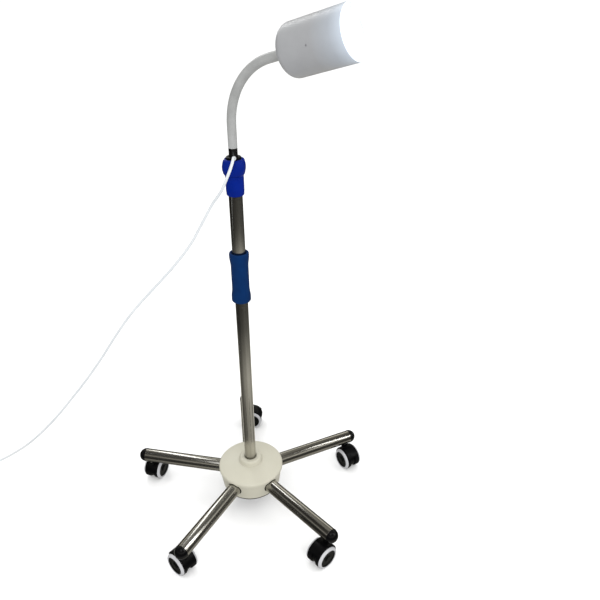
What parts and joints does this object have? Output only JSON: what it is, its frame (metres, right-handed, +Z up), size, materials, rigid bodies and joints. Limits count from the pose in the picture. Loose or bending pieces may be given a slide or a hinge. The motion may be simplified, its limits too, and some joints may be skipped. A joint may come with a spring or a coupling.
{
  "type": "mobile examination light",
  "caption": "Mobile examination light: cup-shaped head on a gooseneck, telescopic mast with a blue clamp and grip, and a round hub with tubular legs on twin-wheel casters.",
  "frame": {"origin": "on the floor under the axis of the mast", "axes": "+Z up along the mast, +X the way the lamp faces, so the gooseneck bends in the XZ plane"},
  "size_m": [1.1912, 0.8298, 1.3468],
  "materials": {
    "polished_steel": "polished stainless tube",
    "dark_steel": "black painted steel",
    "rod_steel": "dark satin steel",
    "zinc_steel": "zinc plated",
    "cream_plastic": "satin moulded",
    "black_plastic": "fine texture",
    "wheel_plastic": "satin tread with a light grey ring",
    "grip_rubber": "smooth matt rubber",
    "blue_plastic": "satin moulded",
    "nylon": "natural nylon",
    "neck_sleeve": "smooth vinyl sleeve",
    "shade_paint": "satin moulded, light grey",
    "aluminium": "extruded",
    "reflector_chrome": "mirror",
    "lens": "diffusing, lit",
    "cord_white": "satin vinyl"
  },
  "bodies": {
    "base": {"hub_cover": "cream_plastic", "hub_core": "dark_steel", "hub_base_plate": "dark_steel", "hub_bolt": "zinc_steel", "leg_tube_1": "polished_steel", "leg_tube_2": "polished_steel", "leg_tube_3": "polished_steel", "leg_tube_4": "polished_steel", "leg_tube_5": "polished_steel", "leg_cap_1": "black_plastic", "leg_cap_2": "black_plastic", "leg_cap_3": "black_plastic", "leg_cap_4": "black_plastic", "leg_cap_5": "black_plastic", "caster_stem_1": "zinc_steel", "caster_stem_2": "zinc_steel", "caster_stem_3": "zinc_steel", "caster_stem_4": "zinc_steel", "caster_stem_5": "zinc_steel", "mast_lower": "polished_steel", "mast_upper": "polished_steel", "mast_coupler": "dark_steel", "grip_sleeve": "grip_rubber", "clamp_body": "blue_plastic", "collet": "nylon", "outlet_collar": "black_plastic", "strain_relief": "cord_white", "cord_tube": "cord_white", "cord_tail": "cord_white", "cord_coil": "cord_white", "plug": "cord_white"},
    "knob": {"lock_knob": "blue_plastic"},
    "slide": {"slide_bush": "nylon"},
    "rod": {"rod": "rod_steel", "neck_root": "neck_sleeve"},
    "neck_1": {"neck_link_1": "neck_sleeve"},
    "neck_2": {"neck_link_2": "neck_sleeve"},
    "neck_3": {"neck_link_3": "neck_sleeve"},
    "head": {"neck_tip": "neck_sleeve", "neck_nut": "zinc_steel", "lamp_shade": "shade_paint", "shade_screw": "zinc_steel", "led_heat_sink": "aluminium", "reflector": "reflector_chrome", "front_lens": "lens"},
    "caster_1": {"caster_body_1": "black_plastic"},
    "wheel_1_left": {"caster_wheel_1_left": "wheel_plastic"},
    "wheel_1_right": {"caster_wheel_1_right": "wheel_plastic"},
    "caster_2": {"caster_body_2": "black_plastic"},
    "wheel_2_left": {"caster_wheel_2_left": "wheel_plastic"},
    "wheel_2_right": {"caster_wheel_2_right": "wheel_plastic"},
    "caster_3": {"caster_body_3": "black_plastic"},
    "wheel_3_left": {"caster_wheel_3_left": "wheel_plastic"},
    "wheel_3_right": {"caster_wheel_3_right": "wheel_plastic"},
    "caster_4": {"caster_body_4": "black_plastic"},
    "wheel_4_left": {"caster_wheel_4_left": "wheel_plastic"},
    "wheel_4_right": {"caster_wheel_4_right": "wheel_plastic"},
    "caster_5": {"caster_body_5": "black_plastic"},
    "wheel_5_left": {"caster_wheel_5_left": "wheel_plastic"},
    "wheel_5_right": {"caster_wheel_5_right": "wheel_plastic"}
  },
  "joints": [
    {"name": "knob_turn", "type": "hinge", "parent": "base", "child": "knob", "pos_m": [0, 0, 1], "axis": [0, 0, 1], "range_deg": [0, 120]},
    {"name": "rod_height", "type": "slide", "parent": "base", "child": "slide", "axis": [0, 0, 1], "range_m": [-0.012, 0.24]},
    {"name": "rod_turn", "type": "hinge", "parent": "slide", "child": "rod", "pos_m": [0, 0, 0.7], "axis": [0, 0, 1], "range_deg": [-165, 165]},
    {"name": "neck_bend_1", "type": "hinge", "parent": "rod", "child": "neck_1", "pos_m": [0.00012, 0, 1.1023], "axis": [0, 1, 0], "range_deg": [-28, 28]},
    {"name": "neck_bend_2", "type": "hinge", "parent": "neck_1", "child": "neck_2", "pos_m": [0.01315, 0, 1.15743], "axis": [0, 1, 0], "range_deg": [-28, 28]},
    {"name": "neck_bend_3", "type": "hinge", "parent": "neck_2", "child": "neck_3", "pos_m": [0.04585, 0, 1.20369], "axis": [0, 1, 0], "range_deg": [-28, 28]},
    {"name": "neck_bend_4", "type": "hinge", "parent": "neck_3", "child": "head", "pos_m": [0.09348, 0, 1.23437], "axis": [0, 1, 0], "range_deg": [-28, 28]},
    {"name": "caster_1_swivel", "type": "hinge", "parent": "base", "child": "caster_1", "pos_m": [0.15458, 0.27101, 0.06], "axis": [0, 0, 1], "continuous": true},
    {"name": "wheel_1_left_roll", "type": "hinge", "parent": "caster_1", "child": "wheel_1_left", "pos_m": [0.17313, 0.26352, 0.0325], "axis": [0.3746, 0.9272, 0], "continuous": true},
    {"name": "wheel_1_right_roll", "type": "hinge", "parent": "caster_1", "child": "wheel_1_right", "pos_m": [0.17313, 0.26352, 0.0325], "axis": [0.3746, 0.9272, 0], "continuous": true},
    {"name": "caster_2_swivel", "type": "hinge", "parent": "base", "child": "caster_2", "pos_m": [-0.20998, 0.23076, 0.06], "axis": [0, 0, 1], "continuous": true},
    {"name": "wheel_2_left_roll", "type": "hinge", "parent": "caster_2", "child": "wheel_2_left", "pos_m": [-0.19321, 0.24166, 0.0325], "axis": [-0.5446, 0.8387, 0], "continuous": true},
    {"name": "wheel_2_right_roll", "type": "hinge", "parent": "caster_2", "child": "wheel_2_right", "pos_m": [-0.19321, 0.24166, 0.0325], "axis": [-0.5446, 0.8387, 0], "continuous": true},
    {"name": "caster_3_swivel", "type": "hinge", "parent": "base", "child": "caster_3", "pos_m": [-0.28436, -0.12839, 0.06], "axis": [0, 0, 1], "continuous": true},
    {"name": "wheel_3_left_roll", "type": "hinge", "parent": "caster_3", "child": "wheel_3_left", "pos_m": [-0.28953, -0.10907, 0.0325], "axis": [-0.9659, -0.2588, 0], "continuous": true},
    {"name": "wheel_3_right_roll", "type": "hinge", "parent": "caster_3", "child": "wheel_3_right", "pos_m": [-0.28953, -0.10907, 0.0325], "axis": [-0.9659, -0.2588, 0], "continuous": true},
    {"name": "caster_4_swivel", "type": "hinge", "parent": "base", "child": "caster_4", "pos_m": [0.03424, -0.31012, 0.06], "axis": [0, 0, 1], "continuous": true},
    {"name": "wheel_4_left_roll", "type": "hinge", "parent": "caster_4", "child": "wheel_4_left", "pos_m": [0.01435, -0.30802, 0.0325], "axis": [-0.1045, -0.9945, 0], "continuous": true},
    {"name": "wheel_4_right_roll", "type": "hinge", "parent": "caster_4", "child": "wheel_4_right", "pos_m": [0.01435, -0.30802, 0.0325], "axis": [-0.1045, -0.9945, 0], "continuous": true},
    {"name": "caster_5_swivel", "type": "hinge", "parent": "base", "child": "caster_5", "pos_m": [0.30552, -0.06327, 0.06], "axis": [0, 0, 1], "continuous": true},
    {"name": "wheel_5_left_roll", "type": "hinge", "parent": "caster_5", "child": "wheel_5_left", "pos_m": [0.30136, -0.08283, 0.0325], "axis": [0.9781, -0.2079, 0], "continuous": true},
    {"name": "wheel_5_right_roll", "type": "hinge", "parent": "caster_5", "child": "wheel_5_right", "pos_m": [0.30136, -0.08283, 0.0325], "axis": [0.9781, -0.2079, 0], "continuous": true}
  ]
}
